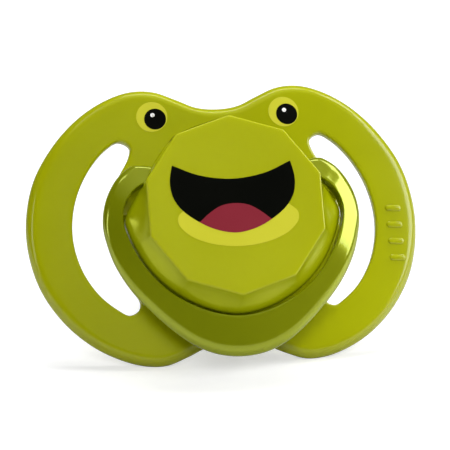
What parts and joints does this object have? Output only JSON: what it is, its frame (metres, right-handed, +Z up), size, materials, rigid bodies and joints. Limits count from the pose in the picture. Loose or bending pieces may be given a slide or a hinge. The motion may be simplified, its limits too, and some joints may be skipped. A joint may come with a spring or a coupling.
{
  "type": "pacifier",
  "caption": "Pacifier with a bowed butterfly shield, crescent vents, a ten-sided knob with a printed frog face, a hinged ring handle and a silicone nipple.",
  "frame": {"origin": "middle of the bounding box at its lowest level, where the shield's lower lobes and the nipple rest", "axes": "+X to the right as the face is looked at, -Y the way the face looks, +Z up; the shield leans back 30 degrees"},
  "size_m": [0.058, 0.0444, 0.0359],
  "materials": {
    "shield_plastic": "satin lime green",
    "knob_plastic": "satin lime green, slightly translucent",
    "handle_plastic": "high gloss metallic lime green",
    "silicone": "clear silicone",
    "plug_plastic": "satin off-white",
    "yellow_ink": "satin print",
    "black_ink": "satin print",
    "red_ink": "satin print",
    "white_ink": "satin print"
  },
  "bodies": {
    "body": {"shield": "shield_plastic", "knob": "knob_plastic", "nipple": "silicone", "nipple_plug": "plug_plastic", "mouth_print": "black_ink", "tongue_print": "red_ink", "lip_print": "yellow_ink", "eye_print_left": "yellow_ink", "pupil_print_left": "black_ink", "glint_print_left": "white_ink", "eye_print_right": "yellow_ink", "pupil_print_right": "black_ink", "glint_print_right": "white_ink"},
    "handle": {"ring_handle": "handle_plastic"}
  },
  "joints": [
    {"name": "handle_hinge", "type": "hinge", "parent": "body", "child": "handle", "pos_m": [0, -0.00855, 0.02662], "axis": [-1, 0, 0], "range_deg": [0, 195]}
  ]
}
